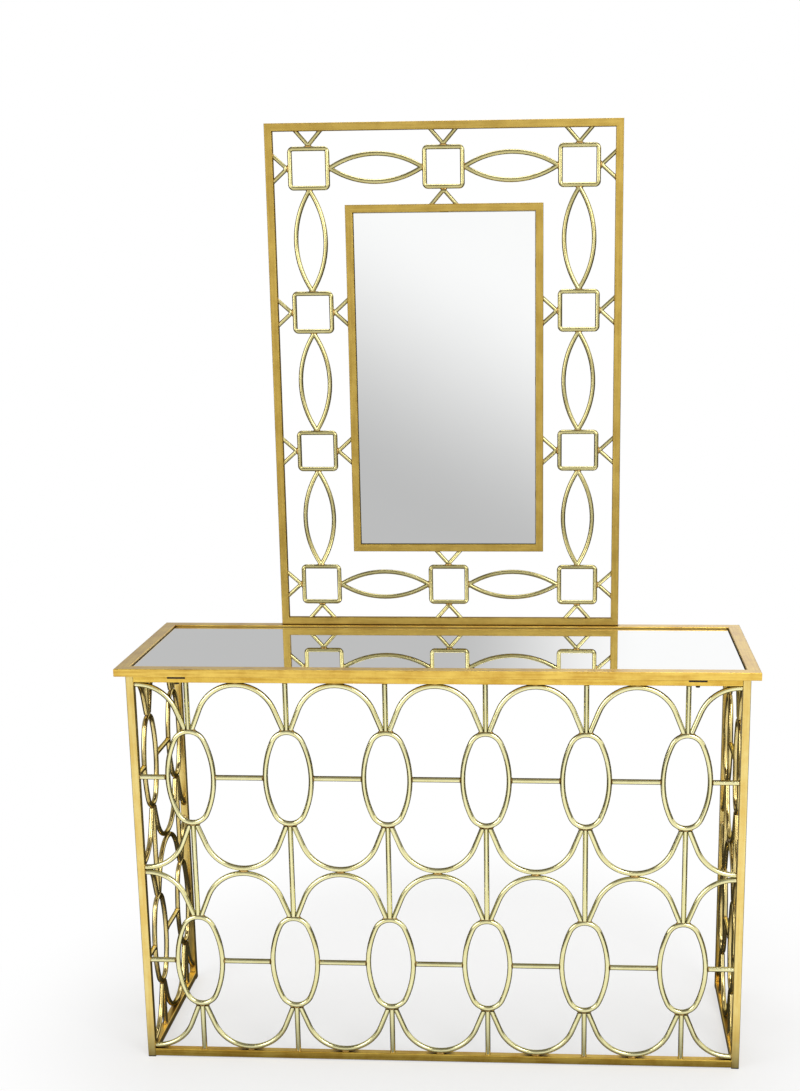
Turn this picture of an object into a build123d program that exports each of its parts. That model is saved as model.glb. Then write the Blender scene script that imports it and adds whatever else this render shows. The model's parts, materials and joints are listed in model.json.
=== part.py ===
"""Console vanity table of gold tube and bent rod, with a drop-in mirror top and a standing framed mirror.

The table stands on the plane z = 0 with its origin at the bottom centre. X runs along the table,
Y runs from the lattice front to the open rear, and Z is up. Sizes are in millimetres.
"""
import os
from math import atan2, cos, sin, sqrt

from build123d import *

# Overall sizes
TABLE_WIDTH = 1200.0
TABLE_DEPTH = 400.0
TABLE_HEIGHT = 800.0
MIRROR_WIDTH = 700.0
MIRROR_HEIGHT = 1000.0

# Square and flat tube
TUBE_SIZE = 15.0
TUBE_WALL = 1.2
TUBE_EDGE_RADIUS = 1.5
TOP_RAIL_WIDTH = 25.0
TOP_RAIL_HEIGHT = 15.0
TOP_OVERHANG = 17.0

# Glides under the legs
GLIDE_THICKNESS = 2.0
GLIDE_PLUG_HEIGHT = 12.0
GLIDE_PLUG_CLEARANCE = 0.2

# Drop-in mirror top
LEDGE_WIDTH = 20.0
LEDGE_THICKNESS = 2.0
STAY_WIDTH = 25.0
STAY_SPACING = 380.0
TOP_BOARD_THICKNESS = 4.0
TOP_PANE_THICKNESS = 5.0
TOP_PANE_CLEARANCE = 1.5
PANE_CHAMFER = 1.0

# Plates and screws that hold the top frame on the leg frame
PLATE_LENGTH = 34.0
PLATE_THICKNESS = 7.5
PLATE_CLEARANCE = 0.2
PLATE_FROM_UPRIGHT = 16.0
TOP_SCREW_RADIUS = 2.0
TOP_SCREW_HEAD_RADIUS = 4.0
TOP_SCREW_HEAD_HEIGHT = 3.0
TOP_SCREW_REACH = 8.0
SCREW_CLEARANCE = 0.2

# Lattice of bent rod
ROD_RADIUS = 5.0
WELD_GAP = 0.2
LATTICE_ROWS = 2
FRONT_COLUMNS = 6
SIDE_COLUMNS = 2
END_GAP = 98.0
SIDE_FRONT_GAP = 96.0
SIDE_REAR_GAP = 52.0
OVAL_WIDTH = 98.0
OVAL_HEIGHT = 192.0
OVAL_TIP_RADIUS = 36.0
ARCH_FOOT_OFFSET = 7.5
ARCH_LEG = 42.0
TRIM_LENGTH = 14.0

# Standing mirror
BAND_WIDTH = 140.0
ORNAMENT_ROD_RADIUS = 4.5
SQUARE_SIZE = 83.0
SQUARE_BEND_RADIUS = 10.8
SQUARE_ROWS = 4
UPRIGHT_LEAF_HALF_WIDTH = 29.5
LEVEL_LEAF_HALF_WIDTH = 26.5
TIE_ROD_RADIUS = 4.0
TIE_SPREAD = 48.0
TIE_BEND_RADIUS = 5.0
GLASS_THICKNESS = 3.0
GLASS_CLEARANCE = 0.4
GLASS_CHAMFER = 0.8
GLASS_BOARD_THICKNESS = 3.0
TAB_LENGTH = 16.0
TAB_REACH = 14.0
TAB_THICKNESS = 1.2
TAB_ROW_SPACING = 230.0
TAB_SCREW_RADIUS = 1.5
TAB_SCREW_HEAD_RADIUS = 3.2
TAB_SCREW_HEAD_HEIGHT = 1.5
TAB_SCREW_BITE = 2.2

# Pins that locate the mirror, and holes to hang it by
PIN_RADIUS = 4.0
PIN_SPACING = 560.0
PIN_HEIGHT_ABOVE_RAIL = 10.0
PIN_CLEARANCE = 0.4
PIN_SEAT_CLEARANCE = 0.1
PIN_TIP_CHAMFER = 1.0
HANG_HOLE_RADIUS = 4.0
HANG_HOLE_SPACING = 500.0

# Places that follow from the sizes above
HALF_WIDTH = TABLE_WIDTH / 2
HALF_DEPTH = TABLE_DEPTH / 2
TOP_FRAME_BASE = TABLE_HEIGHT - TOP_RAIL_HEIGHT
APRON_BASE = TOP_FRAME_BASE - TUBE_SIZE
LEG_X = HALF_WIDTH - TOP_OVERHANG - TUBE_SIZE / 2
LEG_Y = HALF_DEPTH - TOP_OVERHANG - TUBE_SIZE / 2
INNER_WIDTH = 2 * LEG_X - TUBE_SIZE
INNER_DEPTH = 2 * LEG_Y - TUBE_SIZE
BASE_RAIL_TOP = GLIDE_THICKNESS + TUBE_SIZE
ROW_HEIGHT = (APRON_BASE - BASE_RAIL_TOP) / LATTICE_ROWS
PLATE_X = INNER_WIDTH / 2 - END_GAP + PLATE_FROM_UPRIGHT
TOP_SCREW_Y = HALF_DEPTH - (TOP_RAIL_WIDTH + TOP_OVERHANG) / 2
OPENING_WIDTH = TABLE_WIDTH - 2 * TOP_RAIL_WIDTH
OPENING_DEPTH = TABLE_DEPTH - 2 * TOP_RAIL_WIDTH
MIRROR_BACK = HALF_DEPTH
MIRROR_MID = MIRROR_BACK - TUBE_SIZE / 2
MIRROR_MIDDLE_HEIGHT = TABLE_HEIGHT + MIRROR_HEIGHT / 2
GLASS_FRAME_WIDTH = MIRROR_WIDTH - 2 * (TUBE_SIZE + BAND_WIDTH)
GLASS_FRAME_HEIGHT = MIRROR_HEIGHT - 2 * (TUBE_SIZE + BAND_WIDTH)
GLASS_OPENING_WIDTH = GLASS_FRAME_WIDTH - 2 * TUBE_SIZE
GLASS_OPENING_HEIGHT = GLASS_FRAME_HEIGHT - 2 * TUBE_SIZE
SQUARE_INSET = TUBE_SIZE + BAND_WIDTH / 2
TIE_LENGTH = (BAND_WIDTH - SQUARE_SIZE) / 2
TAB_BACK = MIRROR_BACK - TAB_SCREW_HEAD_HEIGHT
BOARD_BACK = TAB_BACK - TAB_THICKNESS
GLASS_BACK = BOARD_BACK - GLASS_BOARD_THICKNESS


def block(size_x, size_y, size_z, x, y, z):
    """A box whose middle in x and y, and whose underside, are given."""
    return Pos(x, y, z) * Box(size_x, size_y, size_z, align=(Align.CENTER, Align.CENTER, Align.MIN))


def upright_cylinder(radius, height, x, y, z):
    """A round bar along Z from height z."""
    return Pos(x, y, z) * Cylinder(radius, height, align=(Align.CENTER, Align.CENTER, Align.MIN))


def bar_along_y(radius, length, x, y, z):
    """A round bar from a point towards the front."""
    return Pos(x, y, z) * Rot(90, 0, 0) * upright_cylinder(radius, length, 0, 0, 0)


def cut_off(solid, point, keep_direction):
    """The part of a solid on one side of a plane."""
    return split(solid, Plane(origin=point, z_dir=keep_direction), Keep.TOP)


def tube(width, height, length):
    """Hollow tube along +Z with rounded edges, centred in x and y."""
    inner_radius = max(TUBE_EDGE_RADIUS - TUBE_WALL, TUBE_WALL / 4)
    outside = RectangleRounded(width, height, TUBE_EDGE_RADIUS)
    inside = RectangleRounded(width - 2 * TUBE_WALL, height - 2 * TUBE_WALL, inner_radius)
    return extrude(outside - inside, length)


def tube_along_x(length, x, y, z):
    """Square tube along X, centred on a point."""
    return Pos(x - length / 2, y, z) * Rot(0, 90, 0) * tube(TUBE_SIZE, TUBE_SIZE, length)


def tube_along_y(length, x, y, z):
    """Square tube along Y, centred on a point."""
    return Pos(x, y + length / 2, z) * Rot(90, 0, 0) * tube(TUBE_SIZE, TUBE_SIZE, length)


def mitred_bar(length, width, height):
    """Tube along X, outer face on y = 0 and inner face on y = width, with both ends mitred."""
    bar = Pos(-length / 2, width / 2, height / 2) * Rot(0, 90, 0) * tube(height, width, length)
    bar = cut_off(bar, (-length / 2, 0, 0), (1, -1, 0))
    return cut_off(bar, (length / 2, 0, 0), (-1, -1, 0))


def mitred_frame(size_x, size_y, width, height):
    """Four mitred bars round a rectangle, keyed by the side they lie on, with their base on z = 0."""
    long_bar = mitred_bar(size_x, width, height)
    short_bar = mitred_bar(size_y, width, height)
    return {
        "low": Pos(0, -size_y / 2, 0) * long_bar,
        "high": Pos(0, size_y / 2, 0) * Rot(0, 0, 180) * long_bar,
        "left": Pos(-size_x / 2, 0, 0) * Rot(0, 0, -90) * short_bar,
        "right": Pos(size_x / 2, 0, 0) * Rot(0, 0, 90) * short_bar,
    }


def rod(path, radius):
    """Round rod along a path."""
    return sweep(Plane(origin=path @ 0, z_dir=path % 0) * Circle(radius), path)


def flat_point(x, z):
    """A point of a flat pattern, which is drawn in the XZ plane."""
    return Vector(x, 0, z)


def bow_path(half_span, height, radius, sense=1, extra=0.0):
    """Arc with its crown at the origin and two tangent legs through (+-half_span, -height), run on by extra.

    A sense of -1 turns it upside down.
    """
    spread = atan2(half_span, radius - height)
    leg = sqrt(half_span**2 + height**2 - 2 * radius * height)
    turn = spread - atan2(leg, radius)
    run = leg + extra
    bend = [(side * radius * sin(turn), -sense * radius * (1 - cos(turn))) for side in (-1, 1)]
    ends = [
        (side * (radius * sin(turn) + run * cos(turn)), -sense * (radius * (1 - cos(turn)) + run * sin(turn)))
        for side in (-1, 1)
    ]
    return [
        Line(flat_point(*ends[0]), flat_point(*bend[0])),
        ThreePointArc(flat_point(*bend[0]), flat_point(0, 0), flat_point(*bend[1])),
        Line(flat_point(*bend[1]), flat_point(*ends[1])),
    ]


def oval_ring():
    """Closed oval of rod about the origin: two tip arcs and two side arcs that meet smoothly."""
    half_width = OVAL_WIDTH / 2 - ROD_RADIUS
    half_height = OVAL_HEIGHT / 2 - ROD_RADIUS
    tip = OVAL_TIP_RADIUS - ROD_RADIUS
    tip_centre = half_height - tip
    side = (half_width**2 + tip_centre**2 - tip**2) / (2 * (half_width - tip))
    lean = atan2(tip_centre, side - half_width)
    meet_x = tip * cos(lean)
    meet_z = tip_centre + tip * sin(lean)
    path = Wire([
        ThreePointArc(flat_point(meet_x, -meet_z), flat_point(half_width, 0), flat_point(meet_x, meet_z)),
        ThreePointArc(flat_point(meet_x, meet_z), flat_point(0, half_height), flat_point(-meet_x, meet_z)),
        ThreePointArc(flat_point(-meet_x, meet_z), flat_point(-half_width, 0), flat_point(-meet_x, -meet_z)),
        ThreePointArc(flat_point(-meet_x, -meet_z), flat_point(0, -half_height), flat_point(meet_x, -meet_z)),
    ])
    return rod(path, ROD_RADIUS)


def oval_axes(span, first_gap, last_gap, columns):
    """Places of the ovals along a panel, from the first leg's inner face."""
    pitch = (span - first_gap - last_gap) / (columns - 1)
    return [first_gap + index * pitch for index in range(columns)]


def arch_row(span, axes, crown_height, sense):
    """Arches, or with a sense of -1 swags, of one row: one between each two ovals and a part at each leg."""
    pitch = axes[1] - axes[0]
    row_middle_drop = ROW_HEIGHT / 2 - ROD_RADIUS - WELD_GAP
    height = row_middle_drop - OVAL_HEIGHT / 2
    half_span = pitch / 2 - ARCH_FOOT_OFFSET
    radius = (half_span**2 + height**2 - ARCH_LEG**2) / (2 * height)
    left_leg, crown, right_leg = bow_path(half_span, height, radius, sense, TRIM_LENGTH)
    upright_side = pitch / 2 - ROD_RADIUS - WELD_GAP
    foot_point = (0, 0, -sense * (height - WELD_GAP))
    whole = rod(Wire([left_leg, crown, right_leg]), ROD_RADIUS)
    whole = cut_off(whole, foot_point, (0, 0, sense))
    whole = cut_off(whole, (-upright_side, 0, 0), (1, 0, 0))
    whole = cut_off(whole, (upright_side, 0, 0), (-1, 0, 0))
    placed = [Pos((a + b) / 2, 0, crown_height) * whole for a, b in zip(axes, axes[1:])]
    for axis, leg_face, side in ((axes[0], 0.0, 1), (axes[-1], span, -1)):
        run_on = Line(flat_point(-side * abs(axis - leg_face), 0), flat_point(0, 0))
        near_leg, half_crown = (right_leg, crown.trim(0.5, 1)) if side > 0 else (left_leg, crown.trim(0, 0.5))
        part = rod(Wire([run_on, half_crown, near_leg]), ROD_RADIUS)
        part = cut_off(part, foot_point, (0, 0, sense))
        part = cut_off(part, (side * upright_side, 0, 0), (-side, 0, 0))
        part = Pos(axis - side * pitch / 2, 0, crown_height) * part
        placed.append(cut_off(part, (leg_face, 0, 0), (side, 0, 0)))
    return placed


def lattice(span, first_gap, last_gap, columns):
    """Rods of one panel, drawn from the first leg's inner face along X, in groups."""
    axes = oval_axes(span, first_gap, last_gap, columns)
    ring = oval_ring()
    groups = {"ovals": [], "arches": [], "swags": [], "uprights": [], "cross_rods": []}
    lines = [APRON_BASE - row * ROW_HEIGHT for row in range(LATTICE_ROWS + 1)]
    middles = [line - ROW_HEIGHT / 2 for line in lines[:-1]]
    reach = ROD_RADIUS + WELD_GAP
    for line, middle in zip(lines, middles):
        groups["ovals"].append([Pos(axis, 0, middle) * ring for axis in axes])
        groups["arches"].append(arch_row(span, axes, line - reach, 1))
        groups["swags"].append(arch_row(span, axes, line - ROW_HEIGHT + reach, -1))
        starts = [0.0] + [axis + OVAL_WIDTH / 2 + WELD_GAP for axis in axes]
        ends = [axis - OVAL_WIDTH / 2 - WELD_GAP for axis in axes] + [span]
        groups["cross_rods"].append([
            Pos(start, 0, middle) * Rot(0, 90, 0) * upright_cylinder(ROD_RADIUS, end - start, 0, 0, 0)
            for start, end in zip(starts, ends)
        ])
    tops = [APRON_BASE] + [middle - OVAL_HEIGHT / 2 - WELD_GAP for middle in middles]
    bottoms = [middle + OVAL_HEIGHT / 2 + WELD_GAP for middle in middles] + [BASE_RAIL_TOP]
    for top, bottom in zip(tops, bottoms):
        length = top - bottom
        groups["uprights"].append([upright_cylinder(ROD_RADIUS, length, axis, 0, bottom) for axis in axes])
    return groups


def joined(rows):
    """One list of all the solids of several rows."""
    return [solid for row in rows for solid in row]


def front_lattice():
    """Front panel, a node for each kind of rod and row."""
    place = Pos(-INNER_WIDTH / 2, -LEG_Y, 0)
    groups = lattice(INNER_WIDTH, END_GAP, END_GAP, FRONT_COLUMNS)
    nodes = {}
    for kind in ("ovals", "arches", "swags", "cross_rods"):
        for level, solids in zip(("upper", "lower"), groups[kind]):
            nodes[f"front_{level}_{kind}"] = [place * solid for solid in solids]
    nodes["front_uprights"] = [place * solid for solid in joined(groups["uprights"])]
    return nodes


def side_lattices():
    """Left and right panels, which start at the front legs and are cut short at the rear legs."""
    groups = lattice(INNER_DEPTH, SIDE_FRONT_GAP, SIDE_REAR_GAP, SIDE_COLUMNS)
    nodes = {}
    for side, x in (("left", -LEG_X), ("right", LEG_X)):
        place = Pos(x, -INNER_DEPTH / 2, 0) * Rot(0, 0, 90)
        for kind, rows in groups.items():
            nodes[f"{side}_{kind}"] = [place * solid for solid in joined(rows)]
    return nodes


def leg_frame():
    """Legs, aprons and base rails. The rear has no base rail."""
    leg_height = TOP_FRAME_BASE - GLIDE_THICKNESS
    nodes = {}
    for end, y, screw_y in (("front", -LEG_Y, -TOP_SCREW_Y), ("rear", LEG_Y, TOP_SCREW_Y)):
        for side, x in (("left", -LEG_X), ("right", LEG_X)):
            nodes[f"leg_{end}_{side}"] = [Pos(x, y, GLIDE_THICKNESS) * tube(TUBE_SIZE, TUBE_SIZE, leg_height)]
        apron = tube_along_x(INNER_WIDTH, 0, y, APRON_BASE + TUBE_SIZE / 2)
        for x in (-PLATE_X, PLATE_X):
            notch = PLATE_LENGTH + 2 * PLATE_CLEARANCE
            apron -= block(notch, 2 * TUBE_SIZE, TUBE_SIZE, x, y, TOP_FRAME_BASE - PLATE_THICKNESS)
            apron -= upright_cylinder(TOP_SCREW_RADIUS + SCREW_CLEARANCE, TUBE_SIZE, x, screw_y, APRON_BASE)
        nodes[f"apron_{end}"] = [apron]
    base_middle = GLIDE_THICKNESS + TUBE_SIZE / 2
    nodes["base_rail_front"] = [tube_along_x(INNER_WIDTH, 0, -LEG_Y, base_middle)]
    for side, x in (("left", -LEG_X), ("right", LEG_X)):
        nodes[f"apron_{side}"] = [tube_along_y(INNER_DEPTH, x, 0, APRON_BASE + TUBE_SIZE / 2)]
        nodes[f"base_rail_{side}"] = [tube_along_y(INNER_DEPTH, x, 0, base_middle)]
    return nodes


def glides():
    """Plastic glides: a flat pad under each leg with a plug up inside the tube."""
    plug = TUBE_SIZE - 2 * TUBE_WALL - 2 * GLIDE_PLUG_CLEARANCE
    pads = []
    for x in (-LEG_X, LEG_X):
        for y in (-LEG_Y, LEG_Y):
            pad = extrude(RectangleRounded(TUBE_SIZE, TUBE_SIZE, TUBE_EDGE_RADIUS), GLIDE_THICKNESS)
            pad += block(plug, plug, GLIDE_PLUG_HEIGHT, 0, 0, GLIDE_THICKNESS)
            pads.append(Pos(x, y, 0) * pad)
    return {"glides": pads}


def top_frame():
    """Mitred rim of the table top, its ledges and the stays between them."""
    bars = mitred_frame(TABLE_WIDTH, TABLE_DEPTH, TOP_RAIL_WIDTH, TOP_RAIL_HEIGHT)
    nodes = {}
    for name, key in (("front", "low"), ("rear", "high"), ("left", "left"), ("right", "right")):
        nodes[f"top_rail_{name}"] = [Pos(0, 0, TOP_FRAME_BASE) * bars[key]]
    for name, y in (("front", -TOP_SCREW_Y), ("rear", TOP_SCREW_Y)):
        rail = nodes[f"top_rail_{name}"][0]
        for x in (-PLATE_X, PLATE_X):
            hole = TOP_SCREW_RADIUS + SCREW_CLEARANCE
            rail -= upright_cylinder(hole, TOP_RAIL_HEIGHT / 2, x, y, TOP_FRAME_BASE)
        nodes[f"top_rail_{name}"] = [rail]
    rear = nodes["top_rail_rear"][0]
    for x in (-PIN_SPACING / 2, PIN_SPACING / 2):
        seat = PIN_RADIUS + PIN_SEAT_CLEARANCE
        rear -= upright_cylinder(seat, TOP_RAIL_HEIGHT / 2, x, MIRROR_MID, TABLE_HEIGHT - TOP_RAIL_HEIGHT / 2)
    nodes["top_rail_rear"] = [rear]
    long_y = (OPENING_DEPTH - LEDGE_WIDTH) / 2
    short_x = (OPENING_WIDTH - LEDGE_WIDTH) / 2
    short_length = OPENING_DEPTH - 2 * LEDGE_WIDTH
    nodes["long_pane_ledges"] = [
        block(OPENING_WIDTH, LEDGE_WIDTH, LEDGE_THICKNESS, 0, y, TOP_FRAME_BASE) for y in (-long_y, long_y)
    ]
    nodes["short_pane_ledges"] = [
        block(LEDGE_WIDTH, short_length, LEDGE_THICKNESS, x, 0, TOP_FRAME_BASE) for x in (-short_x, short_x)
    ]
    nodes["pane_stays"] = [
        block(STAY_WIDTH, short_length, LEDGE_THICKNESS, x, 0, TOP_FRAME_BASE)
        for x in (-STAY_SPACING / 2, STAY_SPACING / 2)
    ]
    return nodes


def top_fixings():
    """Plates let into the front and rear aprons, each with a screw up into the top frame."""
    plates = []
    screws = []
    hole = TOP_SCREW_RADIUS + SCREW_CLEARANCE
    head_base = APRON_BASE - TOP_SCREW_HEAD_HEIGHT
    shank = TUBE_SIZE + TOP_SCREW_REACH
    for y, screw_y in ((-LEG_Y, -TOP_SCREW_Y), (LEG_Y, TOP_SCREW_Y)):
        for x in (-PLATE_X, PLATE_X):
            plate = block(PLATE_LENGTH, TUBE_SIZE, PLATE_THICKNESS, x, y, TOP_FRAME_BASE - PLATE_THICKNESS)
            plates.append(plate - upright_cylinder(hole, TUBE_SIZE, x, screw_y, APRON_BASE))
            head = upright_cylinder(TOP_SCREW_HEAD_RADIUS, TOP_SCREW_HEAD_HEIGHT, x, screw_y, head_base)
            screws.append(head + upright_cylinder(TOP_SCREW_RADIUS, shank, x, screw_y, APRON_BASE))
    return {"top_fixing_plates": plates, "top_fixing_screws": screws}


def locating_pins():
    """Two pins that stand in the rear rail and hold the mirror upright."""
    base = TOP_FRAME_BASE + TUBE_WALL
    height = TABLE_HEIGHT + PIN_HEIGHT_ABOVE_RAIL - base
    pins = []
    for x in (-PIN_SPACING / 2, PIN_SPACING / 2):
        pin = upright_cylinder(PIN_RADIUS, height, x, MIRROR_MID, base)
        pins.append(chamfer(pin.edges().sort_by(Axis.Z)[-1], PIN_TIP_CHAMFER))
    return {"locating_pins": pins}


def mirror_top():
    """Mirror pane of the table top on its backing board, a loose fit inside the rim."""
    width = OPENING_WIDTH - 2 * TOP_PANE_CLEARANCE
    depth = OPENING_DEPTH - 2 * TOP_PANE_CLEARANCE
    board_base = TOP_FRAME_BASE + LEDGE_THICKNESS
    pane_base = board_base + TOP_BOARD_THICKNESS
    board = block(width, depth, TOP_BOARD_THICKNESS, 0, 0, board_base)
    pane = block(width, depth, TOP_PANE_THICKNESS, 0, 0, pane_base)
    pane = chamfer(pane.faces().sort_by(Axis.Z)[-1].edges(), PANE_CHAMFER)
    return {"top_mirror_pane": [pane], "top_backing_board": [board]}


def mirror_frames():
    """Outer frame of the standing mirror and the inner frame round its glass, of mitred square tube."""
    stand = Plane(origin=(0, MIRROR_BACK, MIRROR_MIDDLE_HEIGHT), x_dir=(1, 0, 0), z_dir=(0, -1, 0))
    outer = mitred_frame(MIRROR_WIDTH, MIRROR_HEIGHT, TUBE_SIZE, TUBE_SIZE)
    inner = mitred_frame(GLASS_FRAME_WIDTH, GLASS_FRAME_HEIGHT, TUBE_SIZE, TUBE_SIZE)
    nodes = {}
    for name, key in (("bottom", "low"), ("top", "high"), ("left", "left"), ("right", "right")):
        nodes[f"mirror_bar_{name}"] = [stand * outer[key]]
        nodes[f"glass_bar_{name}"] = [stand * inner[key]]
    foot = nodes["mirror_bar_bottom"][0]
    for x in (-PIN_SPACING / 2, PIN_SPACING / 2):
        foot -= upright_cylinder(PIN_RADIUS + PIN_CLEARANCE, TUBE_SIZE / 2, x, MIRROR_MID, TABLE_HEIGHT)
    nodes["mirror_bar_bottom"] = [foot]
    head = nodes["mirror_bar_top"][0]
    head_middle = TABLE_HEIGHT + MIRROR_HEIGHT - TUBE_SIZE / 2
    for x in (-HANG_HOLE_SPACING / 2, HANG_HOLE_SPACING / 2):
        head -= bar_along_y(HANG_HOLE_RADIUS, TUBE_SIZE / 2, x, MIRROR_BACK, head_middle)
    nodes["mirror_bar_top"] = [head]
    return nodes


def square_ring():
    """Square ring of bent rod about the origin."""
    half = SQUARE_SIZE / 2 - ORNAMENT_ROD_RADIUS
    bend = SQUARE_BEND_RADIUS - ORNAMENT_ROD_RADIUS
    corners = [flat_point(x, z) for x, z in ((-half, -half), (half, -half), (half, half), (-half, half))]
    path = FilletPolyline(*corners, radius=bend, close=True)
    return rod(path.wire(), ORNAMENT_ROD_RADIUS)


def leaf_pair(length, half_width):
    """Two bowed rods along X, mitred against each other at both tips."""
    radius = (length**2 / 4 + half_width**2) / (2 * half_width)
    half_turn = atan2(length / 2, radius - half_width) + TRIM_LENGTH / radius
    tip = (radius * sin(half_turn), half_width - radius * (1 - cos(half_turn)))
    path = ThreePointArc(flat_point(-tip[0], tip[1]), flat_point(0, half_width), flat_point(*tip))
    bow = cut_off(rod(path, ORNAMENT_ROD_RADIUS), (0, 0, WELD_GAP / 2), (0, 0, 1))
    bow = cut_off(bow, (-length / 2 + WELD_GAP, 0, 0), (1, 0, 0))
    bow = cut_off(bow, (length / 2 - WELD_GAP, 0, 0), (-1, 0, 0))
    return [bow, Rot(0, 180, 0) * bow]


def frame_tie():
    """Bent rod from a frame bar, on z = 0, up to the side of a square ring."""
    apex = TIE_LENGTH - TIE_ROD_RADIUS - WELD_GAP
    path = bow_path(TIE_SPREAD / 2, apex, TIE_BEND_RADIUS, 1, TRIM_LENGTH)
    return cut_off(Pos(0, 0, apex) * rod(Wire(path), TIE_ROD_RADIUS), (0, 0, 0), (0, 0, 1))


def square_places():
    """Place of the right-hand column of square rings, and the heights of their rows."""
    side_x = MIRROR_WIDTH / 2 - SQUARE_INSET
    step = (MIRROR_HEIGHT - 2 * SQUARE_INSET) / (SQUARE_ROWS - 1)
    rows = [TABLE_HEIGHT + SQUARE_INSET + index * step for index in range(SQUARE_ROWS)]
    return side_x, rows


def mirror_ornament():
    """Square rings, leaves and ties in the band between the two frames."""
    side_x, rows = square_places()
    row_step = rows[1] - rows[0]
    plane = Pos(0, MIRROR_MID, 0)
    places = [(x, z) for x in (-side_x, side_x) for z in rows] + [(0, rows[0]), (0, rows[-1])]
    ring = square_ring()
    rings = [plane * Pos(x, 0, z) * ring for x, z in places]
    level_pair = leaf_pair(side_x - SQUARE_SIZE, LEVEL_LEAF_HALF_WIDTH)
    upright_pair = leaf_pair(row_step - SQUARE_SIZE, UPRIGHT_LEAF_HALF_WIDTH)
    leaves = []
    for z in (rows[0], rows[-1]):
        for x in (-side_x / 2, side_x / 2):
            leaves += [plane * Pos(x, 0, z) * bow for bow in level_pair]
    for x in (-side_x, side_x):
        for z in rows[:-1]:
            leaves += [plane * Pos(x, 0, z + row_step / 2) * Rot(0, 90, 0) * bow for bow in upright_pair]
    tie = frame_tie()
    reach = SQUARE_SIZE / 2 + TIE_LENGTH
    outer_ties = []
    inner_ties = []
    for x, z in places:
        for ties, sense in ((outer_ties, 1), (inner_ties, -1)):
            if z in (rows[0], rows[-1]) and (sense > 0 or x == 0):
                up = sense if z == rows[-1] else -sense
                ties.append(plane * Pos(x, 0, z + up * reach) * Rot(0, 90 * (1 + up), 0) * tie)
            if x != 0 and (sense > 0 or z not in (rows[0], rows[-1])):
                out = sense if x > 0 else -sense
                ties.append(plane * Pos(x + out * reach, 0, z) * Rot(0, -90 * out, 0) * tie)
    return {"square_rings": rings, "leaf_rods": leaves, "outer_ties": outer_ties, "inner_ties": inner_ties}


def mirror_panel():
    """Glass and its board in the inner frame, held from behind by tabs with screws."""
    width = GLASS_OPENING_WIDTH - 2 * GLASS_CLEARANCE
    height = GLASS_OPENING_HEIGHT - 2 * GLASS_CLEARANCE
    middle = MIRROR_MIDDLE_HEIGHT
    base = middle - height / 2
    glass = block(width, GLASS_THICKNESS, height, 0, GLASS_BACK - GLASS_THICKNESS / 2, base)
    glass = chamfer(glass.faces().sort_by(Axis.Y)[0].edges(), GLASS_CHAMFER)
    board = block(width, GLASS_BOARD_THICKNESS, height, 0, BOARD_BACK - GLASS_BOARD_THICKNESS / 2, base)
    half_x = GLASS_OPENING_WIDTH / 2 - TAB_REACH / 2
    half_z = GLASS_OPENING_HEIGHT / 2 - TAB_REACH / 2
    seats = [(x, middle + row * TAB_ROW_SPACING, False) for x in (-half_x, half_x) for row in (-1, 0, 1)]
    seats += [(0, middle + z, True) for z in (-half_z, half_z)]
    hole = TAB_SCREW_RADIUS + SCREW_CLEARANCE
    shank_length = TAB_THICKNESS + TAB_SCREW_BITE
    tabs = []
    screws = []
    for x, z, level in seats:
        size_x, size_z = (TAB_LENGTH, TAB_REACH) if level else (TAB_REACH, TAB_LENGTH)
        tab = block(size_x, TAB_THICKNESS, size_z, x, TAB_BACK - TAB_THICKNESS / 2, z - size_z / 2)
        tabs.append(tab - bar_along_y(hole, TAB_THICKNESS, x, TAB_BACK, z))
        board -= bar_along_y(hole, TAB_SCREW_BITE + SCREW_CLEARANCE, x, BOARD_BACK, z)
        head = bar_along_y(TAB_SCREW_HEAD_RADIUS, TAB_SCREW_HEAD_HEIGHT, x, MIRROR_BACK, z)
        screws.append(head + bar_along_y(TAB_SCREW_RADIUS, shank_length, x, TAB_BACK, z))
    return {
        "mirror_glass": [glass],
        "glass_backing_board": [board],
        "glass_tabs": tabs,
        "glass_tab_screws": screws,
    }


def write_node(name, solids):
    """Writes one node's solids to its STEP file."""
    shape = solids[0] if len(solids) == 1 else Compound(children=list(solids))
    export_step(shape, f"parts/{name}.step")


def main():
    """Builds every node and writes it."""
    os.makedirs("parts", exist_ok=True)
    nodes = {}
    for make in (top_frame, top_fixings, leg_frame, glides, locating_pins, front_lattice, side_lattices,
                 mirror_top, mirror_frames, mirror_ornament, mirror_panel):
        nodes.update(make())
    for name, solids in nodes.items():
        write_node(name, solids)
    print(len(nodes), "nodes,", sum(len(solids) for solids in nodes.values()), "pieces")


if __name__ == "__main__":
    main()
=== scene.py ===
"""Gold console vanity table with a drop-in mirror top and a framed mirror that stands on its rear rail.

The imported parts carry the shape. This script gives them their finishes, adds the weld beads that hold the bent
rods together, and sets up a plain studio with its camera. Sizes are in metres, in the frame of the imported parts.
"""

import json
import logging
import math
import random
from dataclasses import dataclass, field, replace
from enum import Enum
from typing import Any, Iterable, Mapping, Sequence, Union

import bpy
from mathutils import Matrix, Vector

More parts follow.
